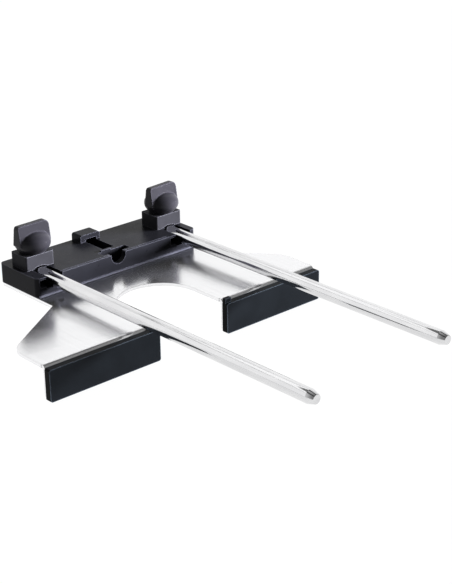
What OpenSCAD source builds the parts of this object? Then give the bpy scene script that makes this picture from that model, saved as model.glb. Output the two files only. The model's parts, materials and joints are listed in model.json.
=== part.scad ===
// Parallel side fence for a hand-held plunge router.
// Two clamped rods slide in the router's base, and two jaws on a bent steel plate run along the work's edge.
// The fence face is a plane of constant Y, the rods point along -Y, and +Z is up.
// The origin lies under the middle of the whole fence, level with the jaws' lower edge.

/* [Fence face] */
// Overall width across both jaws
fence_w = 200; // [190:1:220]
// Length of one jaw
jaw_l = 75; // [72:1:78]
// Height of a jaw
jaw_h = 18.8; // [18.6:0.1:19.2]
// Thickness of a jaw
jaw_t = 4.2; // [4.2:0.1:5]
// Corner radius of a jaw's outline
jaw_corner_r = 1.2; // [0.8:0.1:2]
// Width of the tab at a jaw's inner top corner
tab_w = 4.3; // [3:0.1:5]
// Height of the tab's top
tab_top_z = 21.5; // [21.2:0.1:22.1]

/* [Plate] */
// Sheet thickness
sheet_t = 2; // [1.5:0.5:2.5]
// Height of the plate's top face
plate_top_z = 20.1; // [20.1:0.1:20.6]
// Distance from the fence face to the plate's rear edge
plate_rear = 116; // [112:0.5:116]
// Inner radius of the bend at the front edge
bend_r = 1; // [0.5:0.5:1.5]
// Height of the flange's lower edge
flange_foot_z = 1.5; // [1:0.5:3]
// Inset of the flange from a jaw's ends
flange_inset = 0.5; // [0.5:0.5:3]
// Radius of the cutter's cut-out
cutout_r = 25; // [22:1:25]
// Distance from the fence face to the centre of the cut-out's round end
cutout_y = 29.5; // [26:0.5:32]
// Distance from the fence face to the shoulders where the wings begin
shoulder_y = 65; // [60:1:68]
// Distance from the fence face to the wings' outer corners
wing_corner_y = 32; // [28:1:36]
// Radius of the wings' outer corners
wing_corner_r = 14; // [8:1:16]

/* [Guide rods] */
// Rod diameter
rod_d = 8; // [7.8:0.1:8]
// Distance between the rods' axes
rod_spacing = 98; // [97:0.2:98]
// Sideways offset of the rods' middle from the fence's middle
rod_offset = 11.7; // [11:0.1:12]
// Height of the rods' axes
rod_z = 28.75; // [28.6:0.05:28.9]
// Reach of the rods in front of the fence face
rod_reach = 132.5; // [110:0.5:140]
// Distance from the fence face back to the rods' rear ends
rod_rear = 114; // [112:0.5:115]
// Length of the taper at a rod's tip
rod_tip_l = 4.5; // [3:0.5:6]
// Diameter of a rod's tip
rod_tip_d = 5.4; // [5:0.2:6]

/* [Carrier] */
// Left end of the carrier
carrier_x0 = -50; // [-51:0.5:-49]
// Right end of the carrier
carrier_x1 = 70.5; // [70.3:0.1:72]
// Distance from the fence face to the carrier's front wall
carrier_y0 = 79; // [78:0.5:79]
// Distance from the fence face to the carrier's rear wall
carrier_y1 = 116.5; // [116.5:0.5:118]
// Height of the carrier's top
carrier_top_z = 31.9; // [31.6:0.1:32.1]
// Radius of the carrier's upright corners
carrier_corner_r = 3; // [2:0.5:5]
// Width of the slot for the fine adjuster's spindle
spindle_slot_w = 8; // [7:0.5:8]
// Length of the slot for the fine adjuster's wheel
wheel_slot_l = 20; // [18:0.5:20]
// Width of the slot for the fine adjuster's wheel
wheel_slot_w = 5; // [4.5:0.5:5]

/* [Clamps] */
// Width of a clamp block
block_w = 19.6; // [19.2:0.1:20]
// Distance from the fence face to a block's front
block_y0 = 92.7; // [92.5:0.1:93]
// Distance from the fence face to a block's rear
block_y1 = 107.8; // [107.5:0.1:109]
// Height of a block's top
block_top_z = 40.6; // [40.2:0.1:41.1]
// Diameter of the clamp stud
stud_d = 5.9; // [5.7:0.1:6]
// Turn of the left knob's blade from the fence's length, in degrees
left_blade_turn = 1.5; // [-10:0.5:10]
// Turn of the right knob's blade from the fence's length, in degrees
right_blade_turn = 5; // [-10:0.5:10]

/* [Hidden] */

$fn = 48;
black = [0.09, 0.09, 0.10];
steel = [0.80, 0.81, 0.82];
arc_step = 12;                // largest turn of one side of a rounded corner, in degrees
cut = 1;                      // how far a cutting solid runs past the face that it opens
slip = 0.05;                  // radial clearance of a rod in its seat

face_y = (rod_reach - carrier_y1) / 2;
left_rod_x = rod_offset - rod_spacing / 2;
right_rod_x = rod_offset + rod_spacing / 2;
seat_r = rod_d / 2 + slip;

jaw_inner_x = fence_w / 2 - jaw_l;
jaw_mid_x = fence_w / 2 - jaw_l / 2;
tab_y = [1.4, 3.8];           // where a tab begins and ends behind the fence face

plate_z0 = plate_top_z - sheet_t;
bend_outer_r = bend_r + sheet_t;
bend_y = jaw_t + bend_outer_r;
bend_z = plate_top_z - bend_outer_r;

jaw_screw_spacing = 50;
jaw_screw_z = 9.4;
jaw_screw_r = 1.45;
jaw_screw_head_r = 3;
jaw_screw_head_h = 2;
jaw_screw_tip_y = 1.6;

plate_screw_x = [-20, 42];
plate_screw_y = [85.5, 109.5];
plate_screw_r = 1.95;
plate_screw_head_r = 3.8;
plate_screw_head_h = 1.8;
plate_screw_tip_z = 27.6;
plate_screw_socket = 2.5;

block_screw_offset = 6.8;
block_screw_y = 99.5;
block_screw_r = 1.45;
block_screw_head_r = 2.75;
block_screw_head_h = 2;
block_screw_tip_z = 37.1;

socket_share = 0.6;           // part of a screw head's height that its socket takes
hole_gap = 0.05;              // radial space round a screw's shank where it bites
pass_gap = 0.15;              // radial space round a screw's shank where it passes through
tip_gap = 0.5;                // space beyond a screw's tip

pocket_left = 6;              // the open pocket in front of a block, from the rod's axis
pocket_right = 5.5;
pocket_z = 24.6;
window_left = 10.5;           // the wider window in the front wall, from the rod's axis
window_depth = 6;
window_z = [25.8, 30.4];
window_corner_r = 1.5;

spindle_x = 11;
spindle_slot_y0 = 90.4;
spindle_slot_y1 = 113.5;
spindle_slot_z = 24.6;
wheel_x = 11;
wheel_slot_y = 82.5;
wheel_slot_z = 23.1;
notch_x = 9.7;
notch_r = 5.3;
notch_z = 30.9;
lip_x = [3, 10.5];
lip_l = 1.3;
lip_h = 1;
groove_w = 0.8;
groove_y = 80.2;
groove_x = [-33, 49];
foot_chamfer = 0.6;

bridge_x = [3.2, 17.7];
bridge_y0 = 107.6;
bridge_top_z = 36.6;
bridge_edge_r = 1.4;
bridge_tunnel_z = 33.6;
bridge_screw_x = [5, 16.4];
bridge_screw_y = 112.2;
bridge_screw_r = 0.95;
bridge_screw_head_r = 1.9;
bridge_screw_head_h = 1.6;
bridge_screw_tip_z = 35.2;

block_corner_r = 1;
arch_r = 11.6;                // shallow arch under a block's front edge
arch_top_z = 33.2;
arch_depth = 6;

knob_y = 99.5;
stud_r = stud_d / 2;
insert_z = 34.1;
insert_r = 4.48;
insert_gap = 0.02;
thread_bore_r = stud_r + slip;
pad_r = 2.6;
pad_z0 = rod_z + rod_d / 2 + 0.02;
pad_h = 0.98;
stud_z0 = pad_z0 + pad_h + 0.02;
stud_z1 = 48.6;

neck_z = 40.8;
neck_r = 7.9;
hub_r = 10.7;
hub_z = [45.4, 47];         // the stretch where the hub is widest
hub_foot_r = 8.2;
hub_foot_z = 41.8;
dome_h = 6.1;                 // rise of the dome above the hub's widest stretch
dome_steps = 6;
blade_w = 22.2;
blade_top_t = 3.8;
blade_foot_t = 7.6;
blade_top_z = 58.2;
blade_foot_z = 45.6;
blade_corner_r = 3;

function unit(v) = v / norm(v);

// Points of the arc of radius r that rounds corner p between its neighbours a and b.
function corner_arc(a, p, b, r) =
    let (to_a = unit(a - p), to_b = unit(b - p), half = acos(to_a * to_b) / 2)
    let (centre = p + unit(to_a + to_b) * r / sin(half))
    let (start = p + to_a * r / tan(half) - centre, end = p + to_b * r / tan(half) - centre)
    let (from = atan2(start.y, start.x), turn = (atan2(end.y, end.x) - from + 540) % 360 - 180)
    let (steps = ceil(abs(turn) / arc_step))
    [for (i = [0:steps]) centre + r * [cos(from + turn * i / steps), sin(from + turn * i / steps)]];

// Outline through corners [x, y, radius]; a radius of 0 leaves a sharp corner.
function rounded(corners) =
    let (n = len(corners))
    [for (i = [0:n - 1])
        let (a = corners[(i + n - 1) % n], p = corners[i], b = corners[(i + 1) % n])
        each (p[2] == 0 ? [[p.x, p.y]] : corner_arc([a.x, a.y], [p.x, p.y], [b.x, b.y], p[2]))];

function box_corners(x0, y0, x1, y1, r) = [[x0, y0, r], [x1, y0, r], [x1, y1, r], [x0, y1, r]];

// Puts what is drawn with Y measured from the fence face in its place.
module from_face() {
    translate([0, face_y, 0]) children();
}

module box(low, high) {
    translate(low) cube(high - low);
}

// A cylinder along +Y from y0 to y1.
module bar_y(x, z, y0, y1, r) {
    translate([x, y0, z]) rotate([-90, 0, 0]) cylinder(h = y1 - y0, r = r);
}

// A cylinder along +Z from z0 to z1.
module post(x, y, z0, z1, r) {
    translate([x, y, z0]) cylinder(h = z1 - z0, r = r);
}

// An outline in X and Z, given thickness along +Y from y0 to y1.
module slab_y(y0, y1) {
    translate([0, y1, 0]) rotate([90, 0, 0]) linear_extrude(height = y1 - y0) children();
}

// Carrier: the black housing that seats both rods and the fine adjuster.
module carrier() {
    color(black) from_face() difference() {
        union() {
            translate([0, 0, plate_top_z]) linear_extrude(height = carrier_top_z - plate_top_z)
                polygon(rounded(box_corners(
                    carrier_x0, carrier_y0, carrier_x1, carrier_y1, carrier_corner_r)));
            box([lip_x[0], wheel_slot_y + wheel_slot_w, carrier_top_z - cut],
                [lip_x[1], wheel_slot_y + wheel_slot_w + lip_l, carrier_top_z + lip_h]);
        }
        for (rod_x = [left_rod_x, right_rod_x]) rod_seat_cut(rod_x);
        adjuster_cut();
        box([groove_x[0], groove_y, carrier_top_z - groove_w],
            [groove_x[1], groove_y + groove_w, carrier_top_z + cut]);
        foot_chamfer_cut();
        for (x = plate_screw_x, y = plate_screw_y)
            post(x, y, plate_top_z - cut, plate_screw_tip_z + tip_gap, plate_screw_r + hole_gap);
        for (rod_x = [left_rod_x, right_rod_x], side = [-1, 1])
            screw_way_cut(rod_x + side * block_screw_offset, block_screw_y, block_screw_r, block_screw_head_r,
                block_screw_head_h);
        for (x = bridge_screw_x)
            screw_way_cut(x, bridge_screw_y, bridge_screw_r, bridge_screw_head_r, bridge_screw_head_h);
    }
}

// The seat of one rod: a bore open along its top, a pocket in front of it and a window in the front wall.
module rod_seat_cut(rod_x) {
    bar_y(rod_x, rod_z, block_y0 - cut, carrier_y1 + cut, seat_r);
    box([rod_x - pocket_left, carrier_y0 - cut, pocket_z],
        [rod_x + pocket_right, block_y0, carrier_top_z + cut]);
    slab_y(carrier_y0 - cut, carrier_y0 + window_depth) polygon(rounded([
        [rod_x - window_left, window_z[0], window_corner_r], [rod_x, window_z[0], 0],
        [rod_x, window_z[1], 0], [rod_x - window_left, window_z[1], 0]]));
}

// The open seats that a fine adjuster's spindle and wheel drop into.
module adjuster_cut() {
    box([spindle_x - spindle_slot_w / 2, spindle_slot_y0, spindle_slot_z],
        [spindle_x + spindle_slot_w / 2, spindle_slot_y1, carrier_top_z + lip_h + cut]);
    box([wheel_x - wheel_slot_l / 2, wheel_slot_y, wheel_slot_z],
        [wheel_x + wheel_slot_l / 2, wheel_slot_y + wheel_slot_w, carrier_top_z + lip_h + cut]);
    bar_y(notch_x, notch_z, carrier_y0 - cut, wheel_slot_y + cut, notch_r);
    box([notch_x - notch_r, carrier_y0 - cut, notch_z],
        [notch_x + notch_r, wheel_slot_y + cut, carrier_top_z + cut]);
}

module foot_chamfer_cut() {
    translate([carrier_x0 - cut, carrier_y0, plate_top_z]) rotate([45, 0, 0])
        cube([carrier_x1 - carrier_x0 + 2 * cut, foot_chamfer * sqrt(2), foot_chamfer * sqrt(2)]);
}

// A screw's way up through the carrier, with room for its head at the carrier's foot.
module screw_way_cut(x, y, shank_r, head_r, head_h) {
    post(x, y, plate_top_z - cut, carrier_top_z + cut, shank_r + pass_gap);
    post(x, y, plate_top_z - cut, plate_top_z + head_h + pass_gap, head_r + pass_gap);
}

// Clamp block: stands over one rod and holds the clamp's threaded insert.
module clamp_block(rod_x) {
    color(black) from_face() difference() {
        translate([0, 0, carrier_top_z]) linear_extrude(height = block_top_z - carrier_top_z)
            polygon(rounded(box_corners(
                rod_x - block_w / 2, block_y0, rod_x + block_w / 2, block_y1, block_corner_r)));
        bar_y(rod_x, rod_z, block_y0 - cut, block_y1 + cut, seat_r);
        bar_y(rod_x, arch_top_z - arch_r, block_y0 - cut, block_y0 + arch_depth, arch_r);
        post(rod_x, knob_y, carrier_top_z - cut, insert_z + cut, thread_bore_r);
        post(rod_x, knob_y, insert_z, block_top_z + cut, insert_r + insert_gap);
        for (side = [-1, 1])
            post(rod_x + side * block_screw_offset, block_screw_y,
                carrier_top_z - cut, block_screw_tip_z + tip_gap, block_screw_r + hole_gap);
    }
}

module left_clamp_block() {
    clamp_block(left_rod_x);
}

module right_clamp_block() {
    clamp_block(right_rod_x);
}

// Threaded insert: the brass bush that the clamp stud screws through.
module thread_insert(rod_x) {
    color("goldenrod") from_face() difference() {
        post(rod_x, knob_y, insert_z, block_top_z, insert_r);
        post(rod_x, knob_y, insert_z - cut, block_top_z + cut, thread_bore_r);
    }
}

module left_thread_insert() {
    thread_insert(left_rod_x);
}

module right_thread_insert() {
    thread_insert(right_rod_x);
}

// Half outline of a knob's neck, bellied hub and dome, as [radius, height] points.
function knob_profile() = concat(
    [[0, neck_z], [neck_r, neck_z], [hub_foot_r, hub_foot_z],
     [(hub_foot_r + 2 * hub_r) / 3, (hub_foot_z + hub_z[0]) / 2], [hub_r, hub_z[0]]],
    [for (i = [0:dome_steps - 1])
        [hub_r * cos(90 * i / dome_steps), hub_z[1] + dome_h * sin(90 * i / dome_steps)]],
    [[0, hub_z[1] + dome_h]]);

// Wing knob: a round hub on a short neck, with an upright blade for thumb and finger.
module wing_knob(rod_x, turn) {
    color(black) from_face() translate([rod_x, knob_y, 0]) rotate([0, 0, turn]) difference() {
        union() {
            rotate_extrude() polygon(knob_profile());
            intersection() {
                slab_y(-blade_foot_t / 2, blade_foot_t / 2)
                    polygon(rounded([
                        [-blade_w / 2, blade_foot_z, 0], [blade_w / 2, blade_foot_z, 0],
                        [blade_w / 2, blade_top_z, blade_corner_r],
                        [-blade_w / 2, blade_top_z, blade_corner_r]]));
                translate([-blade_w / 2, 0, 0]) rotate([90, 0, 90]) linear_extrude(height = blade_w)
                    polygon([
                        [-blade_foot_t / 2, blade_foot_z], [blade_foot_t / 2, blade_foot_z],
                        [blade_top_t / 2, blade_top_z], [-blade_top_t / 2, blade_top_z]]);
            }
        }
        post(0, 0, neck_z - cut, stud_z1, stud_r);
    }
}

module left_wing_knob() {
    wing_knob(left_rod_x, left_blade_turn);
}

module right_wing_knob() {
    wing_knob(right_rod_x, right_blade_turn);
}

// Clamp stud: the screw moulded into a knob.
module clamp_stud(rod_x) {
    color(steel) from_face() post(rod_x, knob_y, stud_z0, stud_z1, stud_r);
}

module left_clamp_stud() {
    clamp_stud(left_rod_x);
}

module right_clamp_stud() {
    clamp_stud(right_rod_x);
}

// Pressure pad: the disc at a stud's tip that bears on the rod without turning.
module pressure_pad(rod_x) {
    color("goldenrod") from_face() post(rod_x, knob_y, pad_z0, pad_z0 + pad_h, pad_r);
}

module left_pressure_pad() {
    pressure_pad(left_rod_x);
}

module right_pressure_pad() {
    pressure_pad(right_rod_x);
}

// Guide rod: a plain round bar with a tapered free end.
module guide_rod(rod_x) {
    color(steel) from_face() translate([rod_x, -rod_reach, rod_z]) rotate([-90, 0, 0]) {
        cylinder(h = rod_tip_l, r1 = rod_tip_d / 2, r2 = rod_d / 2);
        translate([0, 0, rod_tip_l]) cylinder(h = rod_reach + rod_rear - rod_tip_l, r = rod_d / 2);
    }
}

module left_guide_rod() {
    guide_rod(left_rod_x);
}

module right_guide_rod() {
    guide_rod(right_rod_x);
}

// Fence plate: sheet steel with wings, a cut-out for the cutter and two flanges bent down at the front.
module fence_plate() {
    color(steel) from_face() difference() {
        union() {
            translate([0, 0, plate_z0]) linear_extrude(height = sheet_t) plate_outline();
            for (side = [-1, 1]) plate_flange(side);
        }
        for (x = plate_screw_x, y = plate_screw_y) {
            post(x, y, plate_z0 - cut, plate_top_z + cut, plate_screw_r + pass_gap);
            translate([x, y, plate_z0])
                countersunk_head(plate_screw_head_r + pass_gap, plate_screw_r + pass_gap);
        }
        for (x = jaw_screw_xs())
            bar_y(x, jaw_screw_z, jaw_t - cut, jaw_t + sheet_t + cut, jaw_screw_r + pass_gap);
    }
}

module plate_outline() {
    half_w = fence_w / 2;
    difference() {
        polygon(rounded([
            [-half_w, bend_y, 0], [half_w, bend_y, 0], [half_w, wing_corner_y, wing_corner_r],
            [carrier_x1, shoulder_y, 0], [carrier_x1, plate_rear, carrier_corner_r],
            [carrier_x0, plate_rear, carrier_corner_r], [carrier_x0, shoulder_y, 0],
            [-half_w, wing_corner_y, wing_corner_r]]));
        translate([0, cutout_y]) circle(r = cutout_r);
        translate([-cutout_r, 0]) square([2 * cutout_r, cutout_y]);
    }
}

// One flange with its bend, on the side given as -1 or 1.
module plate_flange(side) {
    translate([side * jaw_mid_x - (jaw_l / 2 - flange_inset), 0, 0]) rotate([90, 0, 90])
        linear_extrude(height = jaw_l - 2 * flange_inset) {
            translate([jaw_t, flange_foot_z]) square([sheet_t, bend_z - flange_foot_z]);
            intersection() {
                difference() {
                    translate([bend_y, bend_z]) circle(r = bend_outer_r);
                    translate([bend_y, bend_z]) circle(r = bend_r);
                }
                translate([jaw_t, bend_z]) square([bend_outer_r, bend_outer_r]);
            }
        }
}

function jaw_screw_xs() =
    [for (side = [-1, 1], step = [-1, 1]) side * jaw_mid_x + step * jaw_screw_spacing / 2];

// Jaw: the black strip on one side of the cutter that runs along the work's edge.
module jaw(side) {
    color(black) from_face() difference() {
        union() {
            slab_y(0, jaw_t) translate([side * jaw_mid_x, 0])
                polygon(rounded(box_corners(-jaw_l / 2, 0, jaw_l / 2, jaw_h, jaw_corner_r)));
            translate([side < 0 ? -jaw_inner_x - tab_w : jaw_inner_x, 0, 0])
                box([0, tab_y[0], jaw_h - tab_w], [tab_w, tab_y[1], tab_top_z]);
        }
        for (x = jaw_screw_xs())
            bar_y(x, jaw_screw_z, jaw_screw_tip_y - tip_gap, jaw_t + cut, jaw_screw_r + hole_gap);
    }
}

module left_jaw() {
    jaw(-1);
}

module right_jaw() {
    jaw(1);
}

// Adjuster bridge: spans the rear of the spindle slot and keeps the adjuster's nut in.
module adjuster_bridge() {
    color(black) from_face() difference() {
        slab_y(bridge_y0, carrier_y1) polygon(rounded([
            [bridge_x[0], carrier_top_z, 0], [bridge_x[1], carrier_top_z, 0],
            [bridge_x[1], bridge_top_z, bridge_edge_r], [bridge_x[0], bridge_top_z, bridge_edge_r]]));
        box([spindle_x - spindle_slot_w / 2, bridge_y0 - cut, carrier_top_z - cut],
            [spindle_x + spindle_slot_w / 2, spindle_slot_y1, bridge_tunnel_z]);
        for (x = bridge_screw_x)
            post(x, bridge_screw_y, carrier_top_z - cut, bridge_screw_tip_z + tip_gap,
                bridge_screw_r + hole_gap);
    }
}

module hex_socket(across, depth) {
    translate([0, 0, -cut]) cylinder(h = depth + cut, r = across / sqrt(3), $fn = 6);
}

module countersunk_head(head_r, shank_r) {
    cylinder(h = plate_screw_head_h, r1 = head_r, r2 = shank_r);
}

// Screw standing upright on its flat head, tip up.
module cap_screw(head_r, head_h, shank_r, tip_z) {
    difference() {
        union() {
            cylinder(h = head_h, r = head_r);
            cylinder(h = tip_z, r = shank_r);
        }
        hex_socket(head_r, head_h * socket_share);
    }
}

// The screws that hold the jaws, put in from behind the flanges.
module jaw_screws() {
    color(steel) from_face() for (x = jaw_screw_xs())
        translate([x, jaw_t + sheet_t + jaw_screw_head_h, jaw_screw_z]) rotate([90, 0, 0])
            cap_screw(jaw_screw_head_r, jaw_screw_head_h, jaw_screw_r,
                jaw_t + sheet_t + jaw_screw_head_h - jaw_screw_tip_y);
}

// The countersunk screws that hold the plate under the carrier.
module plate_screws() {
    color(steel) from_face() for (x = plate_screw_x, y = plate_screw_y) translate([x, y, plate_z0]) difference() {
        union() {
            countersunk_head(plate_screw_head_r, plate_screw_r);
            cylinder(h = plate_screw_tip_z - plate_z0, r = plate_screw_r);
        }
        hex_socket(plate_screw_socket, plate_screw_head_h * socket_share);
    }
}

// The screws that hold the clamp blocks, put in from the carrier's foot.
module block_screws() {
    color(steel) from_face() for (rod_x = [left_rod_x, right_rod_x], side = [-1, 1])
        translate([rod_x + side * block_screw_offset, block_screw_y, plate_top_z + pass_gap])
            cap_screw(block_screw_head_r, block_screw_head_h, block_screw_r, block_screw_tip_z - plate_top_z);
}

// The screws that hold the adjuster bridge, put in from the carrier's foot.
module bridge_screws() {
    color(steel) from_face() for (x = bridge_screw_x)
        translate([x, bridge_screw_y, plate_top_z + pass_gap])
            cap_screw(bridge_screw_head_r, bridge_screw_head_h, bridge_screw_r, bridge_screw_tip_z - plate_top_z);
}

carrier();
left_clamp_block();
right_clamp_block();
left_thread_insert();
right_thread_insert();
left_wing_knob();
right_wing_knob();
left_clamp_stud();
right_clamp_stud();
left_pressure_pad();
right_pressure_pad();
left_guide_rod();
right_guide_rod();
fence_plate();
left_jaw();
right_jaw();
adjuster_bridge();
jaw_screws();
plate_screws();
block_screws();
bridge_screws();
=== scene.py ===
# Router side fence: finished pieces, materials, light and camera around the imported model. Units are metres.
import json
import math

import bmesh
import bpy
from mathutils import Matrix, Vector

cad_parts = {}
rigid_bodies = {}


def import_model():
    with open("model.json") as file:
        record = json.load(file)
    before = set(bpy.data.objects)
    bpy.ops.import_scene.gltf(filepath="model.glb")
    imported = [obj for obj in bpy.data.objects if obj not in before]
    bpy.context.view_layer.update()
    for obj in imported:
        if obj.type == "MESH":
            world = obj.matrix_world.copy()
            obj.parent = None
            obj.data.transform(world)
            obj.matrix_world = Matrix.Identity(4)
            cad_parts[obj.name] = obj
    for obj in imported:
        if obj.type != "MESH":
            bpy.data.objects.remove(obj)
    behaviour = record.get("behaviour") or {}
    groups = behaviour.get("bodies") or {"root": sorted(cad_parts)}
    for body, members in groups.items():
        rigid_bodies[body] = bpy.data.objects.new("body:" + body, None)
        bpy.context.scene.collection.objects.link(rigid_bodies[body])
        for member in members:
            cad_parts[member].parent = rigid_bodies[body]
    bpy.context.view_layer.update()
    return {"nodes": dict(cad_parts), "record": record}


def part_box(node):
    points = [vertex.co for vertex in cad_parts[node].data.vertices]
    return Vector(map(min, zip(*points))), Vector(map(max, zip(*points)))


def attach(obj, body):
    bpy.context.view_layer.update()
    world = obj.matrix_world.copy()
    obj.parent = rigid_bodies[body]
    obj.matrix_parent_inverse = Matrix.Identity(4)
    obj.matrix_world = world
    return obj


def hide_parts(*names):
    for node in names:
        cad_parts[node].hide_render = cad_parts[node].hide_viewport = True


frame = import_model()
MM = 0.001


# ---------------------------------------------------------------- materials

def principled(name, color, metallic=0.0, roughness=0.5, specular=0.5):
    """A new material and its principled shader, with the values that stay even all over."""
    material = bpy.data.materials.new(name)
    material.use_nodes = True
    shader = material.node_tree.nodes["Principled BSDF"]
    shader.inputs["Base Color"].default_value = (*color, 1.0)
    shader.inputs["Metallic"].default_value = metallic
    shader.inputs["Roughness"].default_value = roughness
    shader.inputs["Specular IOR Level"].default_value = specular
    return material, shader


def noise_node(tree, scale, stretch=(1, 1, 1), detail=4.0, rough=0.55):
    """Noise in the frame's metres, with scale in waves per metre and its grains lengthened by stretch."""
    place = tree.nodes.new("ShaderNodeTexCoord")
    mapping = tree.nodes.new("ShaderNodeMapping")
    mapping.inputs["Scale"].default_value = [1.0 / s for s in stretch]
    texture = tree.nodes.new("ShaderNodeTexNoise")
    texture.inputs["Scale"].default_value = scale
    texture.inputs["Detail"].default_value = detail
    texture.inputs["Roughness"].default_value = rough
    tree.links.new(place.outputs["Object"], mapping.inputs["Vector"])
    tree.links.new(mapping.outputs["Vector"], texture.inputs["Vector"])
    return texture.outputs["Fac"]


def ranged(tree, value, low, high, start=0.3, end=0.7):
    """value, which runs from start to end, spread over low to high."""
    spread = tree.nodes.new("ShaderNodeMapRange")
    spread.inputs["From Min"].default_value = start
    spread.inputs["From Max"].default_value = end
    spread.inputs["To Min"].default_value = low
    spread.inputs["To Max"].default_value = high
    tree.links.new(value, spread.inputs["Value"])
    return spread.outputs["Result"]


def tinted(tree, value, dark, light):
    """Colour that runs from dark to light as value runs from 0.3 to 0.7."""
    ramp = tree.nodes.new("ShaderNodeValToRGB")
    ramp.color_ramp.elements[0].position = 0.3
    ramp.color_ramp.elements[0].color = (*dark, 1.0)
    ramp.color_ramp.elements[1].position = 0.7
    ramp.color_ramp.elements[1].color = (*light, 1.0)
    tree.links.new(value, ramp.inputs["Fac"])
    return ramp.outputs["Color"]


def bumped(tree, shader, value, strength, depth):
    """Lets value raise the surface by depth metres."""
    bump = tree.nodes.new("ShaderNodeBump")
    bump.inputs["Strength"].default_value = strength
    bump.inputs["Distance"].default_value = depth
    tree.links.new(value, bump.inputs["Height"])
    tree.links.new(bump.outputs["Normal"], shader.inputs["Normal"])


def scaled(color, factor):
    return tuple(min(1.0, c * factor) for c in color)


def edge_mask(tree, radius, gain):
    """0 on flat faces, rising to gain within radius of an edge."""
    soft = tree.nodes.new("ShaderNodeBevel")
    soft.samples = 4
    soft.inputs["Radius"].default_value = radius
    plain = tree.nodes.new("ShaderNodeNewGeometry")
    agree = tree.nodes.new("ShaderNodeVectorMath")
    agree.operation = "DOT_PRODUCT"
    tree.links.new(soft.outputs["Normal"], agree.inputs[0])
    tree.links.new(plain.outputs["True Normal"], agree.inputs[1])
    return ranged(tree, agree.outputs["Value"], gain, 0.0, 0.88, 0.995)


def mixed(tree, factor, first, second):
    """Colour that runs from first to second as factor runs from 0 to 1."""
    mix = tree.nodes.new("ShaderNodeMix")
    mix.data_type = "RGBA"
    mix.clamp_factor = True
    tree.links.new(factor, mix.inputs["Factor"])
    tree.links.new(first, mix.inputs["A"])
    mix.inputs["B"].default_value = (*second, 1.0)
    return mix.outputs["Result"]


def moulded_plastic(name, color, roughness, specular, grain=2600.0, depth=0.00002, highlight_strength=0.6, pale=6.0):
    """Black moulded plastic: a fine spark-eroded grain, slow changes of tone and gloss, and a painted
    highlight on its edges.
    """
    material, shader = principled(name, color, 0.0, roughness, specular)
    tree = material.node_tree
    slow = noise_node(tree, 60.0)
    body = tinted(tree, slow, scaled(color, 0.85), scaled(color, 1.18))
    # Painted highlight: within 0.9 mm of an edge the colour is mixed toward a copy made lighter by the factor
    # pale.
    edge_highlighted = mixed(tree, edge_mask(tree, 0.0009, highlight_strength), body, scaled(color, pale))
    tree.links.new(edge_highlighted, shader.inputs["Base Color"])
    marks = noise_node(tree, 240.0, detail=6.0)
    tree.links.new(ranged(tree, marks, roughness - 0.04, roughness + 0.05), shader.inputs["Roughness"])
    bumped(tree, shader, noise_node(tree, grain, detail=3.0), 0.5, depth)
    return material


def rolled_sheet():
    """Polished sheet steel: faint rolling lines along Y, and slow changes of roughness that blur what it
    reflects in patches.
    """
    material, shader = principled("polished_sheet", (0.86, 0.86, 0.87), 0.82, 0.2)
    tree = material.node_tree
    lines = noise_node(tree, 900.0, stretch=(1, 40, 1), detail=5.0)
    body = tinted(tree, lines, (0.90, 0.90, 0.91), (0.95, 0.95, 0.96))
    # Within 0.3 mm of an edge the colour is mixed toward dark grey.
    edge_darkened = mixed(tree, edge_mask(tree, 0.0003, 0.6), body, (0.40, 0.40, 0.41))
    tree.links.new(edge_darkened, shader.inputs["Base Color"])
    cloud = noise_node(tree, 45.0, detail=3.0)
    tree.links.new(ranged(tree, cloud, 0.15, 0.22), shader.inputs["Roughness"])
    bumped(tree, shader, lines, 0.12, 0.000002)
    return material


def plated_bar():
    """Ground and chromed bar: grinding rings too fine to see one by one, and a few dull spots."""
    material, shader = principled("plated_bar", (0.74, 0.74, 0.75), 1.0, 0.09)
    tree = material.node_tree
    rings = noise_node(tree, 5200.0, stretch=(8, 1, 8), detail=2.0)
    spots = noise_node(tree, 260.0, stretch=(1, 5, 1), detail=6.0)
    tree.links.new(ranged(tree, spots, 0.06, 0.17), shader.inputs["Roughness"])
    tree.links.new(tinted(tree, spots, (0.69, 0.69, 0.70), (0.78, 0.78, 0.785)), shader.inputs["Base Color"])
    bumped(tree, shader, rings, 0.2, 0.000002)
    return material


def turned_metal(name, color, roughness):
    """Small turned or plated metal parts, with tool lines and a few stains."""
    material, shader = principled(name, color, 1.0, roughness)
    tree = material.node_tree
    stain = noise_node(tree, 300.0, detail=5.0)
    tree.links.new(tinted(tree, stain, scaled(color, 0.75), scaled(color, 1.1)), shader.inputs["Base Color"])
    tree.links.new(ranged(tree, stain, roughness - 0.08, roughness + 0.12), shader.inputs["Roughness"])
    bumped(tree, shader, noise_node(tree, 3500.0, stretch=(6, 6, 1)), 0.3, 0.000005)
    return material


MATERIALS = {
    "housing_plastic": moulded_plastic(
        "housing_plastic", (0.0100, 0.0102, 0.0130), 0.30, 0.09, highlight_strength=0.9, pale=5.5),
    "block_plastic": moulded_plastic("block_plastic", (0.0190, 0.0190, 0.0226), 0.42, 0.05),
    "knob_plastic": moulded_plastic("knob_plastic", (0.0145, 0.0141, 0.0176), 0.36, 0.22, grain=1500.0),
    "jaw_plastic": moulded_plastic(
        "jaw_plastic", (0.0036, 0.0043, 0.0054), 0.38, 0.06, depth=0.000006, highlight_strength=1.0, pale=9.0),
    "polished_sheet": rolled_sheet(),
    "rod_chrome": plated_bar(),
    "brass": turned_metal("brass", (0.72, 0.53, 0.24), 0.28),
    "screw_steel": turned_metal("screw_steel", (0.62, 0.63, 0.65), 0.26),
}
SLOT_OF = {row["node"]: row["material_slot"] for row in frame["record"]["subparts"]}
BODY_OF = {node: body for body, nodes in frame["record"]["behaviour"]["bodies"].items() for node in nodes}


# ---------------------------------------------------------------- making pieces

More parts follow.
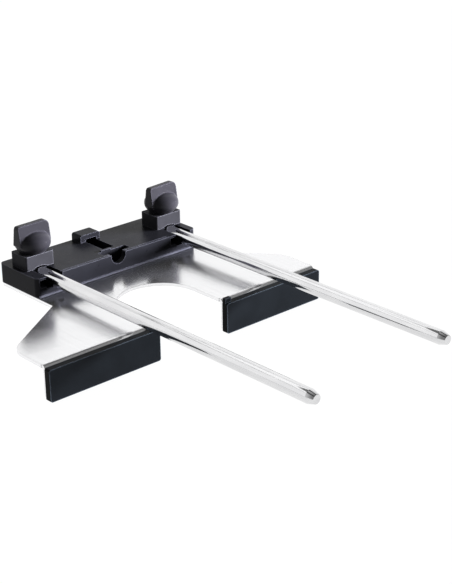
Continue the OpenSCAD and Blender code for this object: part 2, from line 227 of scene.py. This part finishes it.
def add_piece(name, mesh, node, smooth_angle=35.0):
    """A new object that stands for a CAD node, rides on its body and takes its material."""
    piece = bpy.data.objects.new(name, mesh)
    bpy.context.scene.collection.objects.link(piece)
    mesh.materials.clear()
    mesh.materials.append(MATERIALS[SLOT_OF[node]])
    mesh.shade_smooth()
    mesh.set_sharp_from_angle(angle=math.radians(smooth_angle))
    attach(piece, BODY_OF[node])
    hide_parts(node)
    return piece


def rounded_copy(node, name, edge, segments=3, sharp=32.0):
    """The CAD node's shape with its sharp edges rounded by a radius of edge."""
    shape = bmesh.new()
    shape.from_mesh(frame["nodes"][node].data)
    bmesh.ops.remove_doubles(shape, verts=shape.verts, dist=0.000001)
    bmesh.ops.dissolve_limit(shape, angle_limit=math.radians(0.5), verts=shape.verts, edges=shape.edges)
    mesh = bpy.data.meshes.new(name)
    shape.to_mesh(mesh)
    shape.free()
    piece = add_piece(name, mesh, node)
    bevel = piece.modifiers.new("edges", "BEVEL")
    bevel.limit_method = "ANGLE"
    bevel.angle_limit = math.radians(sharp)
    bevel.width = edge
    bevel.segments = segments
    bevel.use_clamp_overlap = True
    bevel.miter_outer = "MITER_ARC"
    normals = piece.modifiers.new("flat_faces", "WEIGHTED_NORMAL")
    normals.keep_sharp = True
    return piece


def lathe(profile, steps=96):
    """A closed mesh turned about +Z from (radius, height) points that start and end on the axis."""
    shape = bmesh.new()
    rings = []
    for radius, height in profile:
        if radius == 0:
            rings.append([shape.verts.new((0, 0, height))])
            continue
        turns = [2 * math.pi * i / steps for i in range(steps)]
        rings.append([shape.verts.new((radius * math.cos(t), radius * math.sin(t), height)) for t in turns])
    for low, high in zip(rings, rings[1:]):
        for i in range(steps):
            j = (i + 1) % steps
            corners = [low[i % len(low)], low[j % len(low)], high[j % len(high)], high[i % len(high)]]
            shape.faces.new(list(dict.fromkeys(corners)))
    bmesh.ops.recalc_face_normals(shape, faces=shape.faces)
    return shape


def arc_points(centre, radius, start, end, steps):
    """(radius, height) points along an arc in the lathe's plane, from start to end degrees."""
    turns = [math.radians(start + (end - start) * i / steps) for i in range(steps + 1)]
    return [(centre[0] + radius * math.cos(t), centre[1] + radius * math.sin(t)) for t in turns]


def to_mesh(shape, name):
    mesh = bpy.data.meshes.new(name)
    shape.to_mesh(mesh)
    shape.free()
    return mesh


# ---------------------------------------------------------------- guide rods

def guide_rod(side):
    """A rod with a turned taper at its free end, soft rims and a tool's centre mark in each end face."""
    node = side + "_guide_rod"
    low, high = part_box(node)
    axis = Vector(((low.x + high.x) / 2, low.y, (low.z + high.z) / 2))
    radius, length = (high.x - low.x) / 2, high.y - low.y
    tip_radius, taper, rim, mark = 2.7 * MM, 4.5 * MM, 0.25 * MM, 0.7 * MM
    profile = [(0, 0.35 * MM), (mark, 0), (tip_radius - rim, 0)]
    profile += arc_points((tip_radius - rim, rim), rim, -90, -16, 4)
    profile += [(radius - 0.04 * MM, taper - 0.12 * MM), (radius, taper + 0.12 * MM)]
    stations = 24
    profile += [(radius, taper + (length - taper - rim) * i / stations) for i in range(1, stations)]
    profile += arc_points((radius - rim, length - rim), rim, 0, 90, 4)
    profile += [(mark, length), (0, length - 0.35 * MM)]
    shape = lathe(profile, 128)
    shape.transform(Matrix.Translation(axis) @ Matrix.Rotation(math.radians(-90), 4, "X"))
    return add_piece(side + "_rod_bar", to_mesh(shape, node + "_mesh"), node, smooth_angle=30.0)


# ---------------------------------------------------------------- wing knobs

def rounded_rectangle(width, low, high, radius_left, radius_right, steps=8):
    """(x, z) points of an upright rectangle with its two upper corners rounded."""
    half = width / 2
    points = [(-half, low), (half, low)]
    points += arc_points((half - radius_right, high - radius_right), radius_right, 0, 90, steps)
    points += arc_points((-half + radius_left, high - radius_left), radius_left, 90, 180, steps)
    return points


def wing_knob(side, turn):
    """Neck, domed hub and blade, run together and softened as one moulding."""
    node = side + "_wing_knob"
    low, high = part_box(node)
    centre = (low + high) / 2
    foot, top = low.z, high.z
    neck, hub = 7.9 * MM, 10.7 * MM
    belly, dome = foot + 6.2 * MM, 6.1 * MM
    profile = [(0, foot), (neck - 0.3 * MM, foot), (neck, foot + 0.3 * MM),
               (neck + 0.2 * MM, foot + 1.0 * MM), (neck + 1.4 * MM, foot + 2.1 * MM),
               (hub - 0.5 * MM, foot + 3.3 * MM), (hub, foot + 4.8 * MM)]
    climbs = [math.radians(7.5 * i) for i in range(12)]
    profile += [(hub * math.cos(t), belly + dome * math.sin(t)) for t in climbs]
    profile.append((0, belly + dome))
    shape = lathe(profile, 72)
    hub_mesh = to_mesh(shape, side + "_hub")
    blade = bmesh.new()
    width, corner_left, corner_right = 22.2 * MM, 1.6 * MM, 3.4 * MM
    outline = rounded_rectangle(width, foot + 5.0 * MM, top, corner_left, corner_right)
    half_low, half_top = 4.4 * MM, 1.9 * MM
    slope = (half_top - half_low) / (top - foot)
    sheets = []
    for sign in (-1, 1):
        sheets.append([blade.verts.new((x, sign * (half_low + slope * (z - foot)), z)) for x, z in outline])
    blade.faces.new(sheets[0])
    blade.faces.new(list(reversed(sheets[1])))
    count = len(outline)
    for i in range(count):
        j = (i + 1) % count
        blade.faces.new([sheets[0][i], sheets[1][i], sheets[1][j], sheets[0][j]])
    bmesh.ops.recalc_face_normals(blade, faces=blade.faces)
    blade_mesh = to_mesh(blade, side + "_blade")
    join = bmesh.new()
    join.from_mesh(hub_mesh)
    join.from_mesh(blade_mesh)
    join.transform(Matrix.Translation((centre.x, centre.y, 0)) @ Matrix.Rotation(math.radians(turn), 4, "Z"))
    knob = add_piece(side + "_knob", to_mesh(join, node + "_mesh"), node, smooth_angle=60.0)
    skin = knob.modifiers.new("one_skin", "REMESH")
    skin.mode = "VOXEL"
    skin.voxel_size = 0.28 * MM
    soften = knob.modifiers.new("soften", "SMOOTH")
    soften.factor = 0.5
    soften.iterations = 7
    return knob


# ---------------------------------------------------------------- clamp studs

def clamp_stud(side):
    """The stud with its real thread: a ridge that climbs one pitch for each turn."""
    node = side + "_clamp_stud"
    low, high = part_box(node)
    centre = (low + high) / 2
    crest, depth, pitch = (high.x - low.x) / 2, 0.55 * MM, 1.0 * MM
    steps, rise = 36, pitch / 10
    rings = int((high.z - low.z) / rise)
    shape = bmesh.new()
    grid = []
    for k in range(rings + 1):
        z = low.z + (high.z - low.z) * k / rings
        row = []
        for i in range(steps):
            phase = ((z - low.z) / pitch - i / steps) % 1.0
            fade = min(1.0, (z - low.z) / pitch + 0.1)
            radius = crest - depth * (1 - fade) - depth * abs(2 * phase - 1) * fade
            turn = 2 * math.pi * i / steps
            x, y = centre.x + radius * math.cos(turn), centre.y + radius * math.sin(turn)
            row.append(shape.verts.new((x, y, z)))
        grid.append(row)
    for a, b in zip(grid, grid[1:]):
        for i in range(steps):
            j = (i + 1) % steps
            shape.faces.new([a[i], a[j], b[j], b[i]])
    shape.faces.new(list(reversed(grid[0])))
    shape.faces.new(grid[-1])
    return add_piece(side + "_stud_thread", to_mesh(shape, node + "_mesh"), node, smooth_angle=50.0)


# ---------------------------------------------------------------- all pieces

for side in ("left", "right"):
    guide_rod(side)
    clamp_stud(side)
    rounded_copy(side + "_clamp_block", side + "_block", 0.35 * MM)
    rounded_copy(side + "_jaw", side + "_jaw_strip", 0.45 * MM)
    rounded_copy(side + "_pressure_pad", side + "_pad_disc", 0.12 * MM, segments=2)
    rounded_copy(side + "_thread_insert", side + "_insert", 0.15 * MM, segments=2)
wing_knob("left", 1.5)
wing_knob("right", 5.0)
rounded_copy("carrier", "carrier_housing", 0.35 * MM)
rounded_copy("adjuster_bridge", "bridge_block", 0.3 * MM)
rounded_copy("fence_plate", "plate_sheet", 0.12 * MM, segments=2)
for node in ("jaw_screws", "plate_screws", "block_screws", "bridge_screws"):
    rounded_copy(node, node + "_set", 0.1 * MM, segments=2)


# ---------------------------------------------------------------- stage, light and camera

# Brightness of the surroundings, from the ground up: the backdrop is the bright part behind the fence.
GROUND, BACKDROP, HORIZON, SEAM, OVERHEAD, CEILING, ZENITH = 1.0, 1.12, 0.5, 0.35, 1.3, 0.22, 0.8
# Share of that brightness that is left in front of the fence.
FRONT = 0.26


def floor():
    """A plain pale floor, level with the jaws' lower edges."""
    mesh = bpy.data.meshes.new("floor")
    size, drop = 6.0, 0.0002
    corners = [(-size, -size, -drop), (size, -size, -drop), (size, size, -drop), (-size, size, -drop)]
    mesh.from_pydata(corners, [], [(0, 1, 2, 3)])
    plane = bpy.data.objects.new("floor", mesh)
    bpy.context.scene.collection.objects.link(plane)
    material, shader = principled("floor", (0.06, 0.06, 0.06), 0.0, 0.9, 0.0)
    shader.inputs["Emission Color"].default_value = (1, 1, 1, 1)
    shader.inputs["Emission Strength"].default_value = 0.99
    mesh.materials.append(material)


def softbox(name, place, target, width, height, power):
    """A rectangular lamp at place that faces target."""
    lamp = bpy.data.lights.new(name, "AREA")
    lamp.shape = "RECTANGLE"
    lamp.size, lamp.size_y = width, height
    lamp.energy = power
    holder = bpy.data.objects.new(name, lamp)
    bpy.context.scene.collection.objects.link(holder)
    holder.location = place
    holder.rotation_mode = "QUATERNION"
    holder.rotation_quaternion = (Vector(target) - Vector(place)).to_track_quat("-Z", "Y")
    return holder


def lit(name, slots):
    """A collection of the objects that wear the materials of the named slots."""
    group = bpy.data.collections.new(name)
    wanted = [MATERIALS[slot] for slot in slots]
    for piece in bpy.context.scene.objects:
        if any(worn.material in wanted for worn in piece.material_slots):
            group.objects.link(piece)
    return group


def light():
    """Surroundings that are bright behind the fence and dim in front, and a lamp at the right.

    Seen directly they are at least white. The lamp lights only the black plastics, and isn't reflected.
    """
    world = bpy.data.worlds.new("studio")
    world.use_nodes = True
    tree = world.node_tree
    background = tree.nodes["Background"]
    place = tree.nodes.new("ShaderNodeTexCoord")
    split = tree.nodes.new("ShaderNodeSeparateXYZ")
    tree.links.new(place.outputs["Generated"], split.inputs["Vector"])
    height = ranged(tree, split.outputs["Z"], 0.0, 1.0, -1.0, 1.0)
    ramp = tree.nodes.new("ShaderNodeValToRGB")
    stops = [(0.487, GROUND), (0.494, HORIZON), (0.506, HORIZON), (0.513, BACKDROP), (0.842, BACKDROP),
             (0.846, SEAM), (0.853, SEAM), (0.857, OVERHEAD), (0.900, OVERHEAD), (0.915, CEILING),
             (0.973, CEILING), (0.985, ZENITH)]
    ramp.color_ramp.elements.remove(ramp.color_ramp.elements[1])
    ramp.color_ramp.elements[0].position = stops[0][0]
    ramp.color_ramp.elements[0].color = (GROUND, GROUND, GROUND, 1)
    for position, value in stops[1:]:
        ramp.color_ramp.elements.new(position).color = (value, value, value, 1)
    tree.links.new(height, ramp.inputs["Fac"])
    behind = ranged(tree, split.outputs["Y"], FRONT, 1.0, 0.0, 0.35)
    both = tree.nodes.new("ShaderNodeMath")
    both.operation = "MULTIPLY"
    tree.links.new(ramp.outputs["Color"], both.inputs[0])
    tree.links.new(behind, both.inputs[1])
    seen = tree.nodes.new("ShaderNodeLightPath")
    either = tree.nodes.new("ShaderNodeMath")
    either.operation = "MAXIMUM"
    tree.links.new(both.outputs["Value"], either.inputs[0])
    tree.links.new(seen.outputs["Is Camera Ray"], either.inputs[1])
    tree.links.new(either.outputs["Value"], background.inputs["Color"])
    bpy.context.scene.world = world
    middle = (0.0, 0.07, 0.03)
    key = softbox("key", (2.95, -1.65, 0.55), middle, 2.2, 1.2, 2100)
    key.visible_glossy = False
    plastics = [slot for slot in MATERIALS if "plastic" in slot]
    key.light_linking.receiver_collection = lit("lit_by_key", plastics)


def camera():
    """The camera stands low to the left in front of the fence."""
    data = bpy.data.cameras.new("camera")
    data.sensor_width = 36.0
    data.lens = 91.99
    data.shift_x, data.shift_y = -0.0430, -0.0080
    data.clip_start, data.clip_end = 0.05, 20.0
    right = Vector((0.72830717, -0.68522074, -0.00641895))
    up = Vector((0.26962337, 0.27794032, 0.92198287))
    back = Vector((-0.6299777, -0.67321744, 0.38717745))
    turn = Matrix((right, up, back)).transposed()
    holder = bpy.data.objects.new("camera", data)
    bpy.context.scene.collection.objects.link(holder)
    holder.matrix_world = Matrix.Translation((-0.49913, -0.57219, 0.35740)) @ turn.to_4x4()
    bpy.context.scene.camera = holder


floor()
light()
camera()
bpy.context.scene.view_settings.view_transform = "Standard"
bpy.context.scene.view_settings.gamma = 0.86
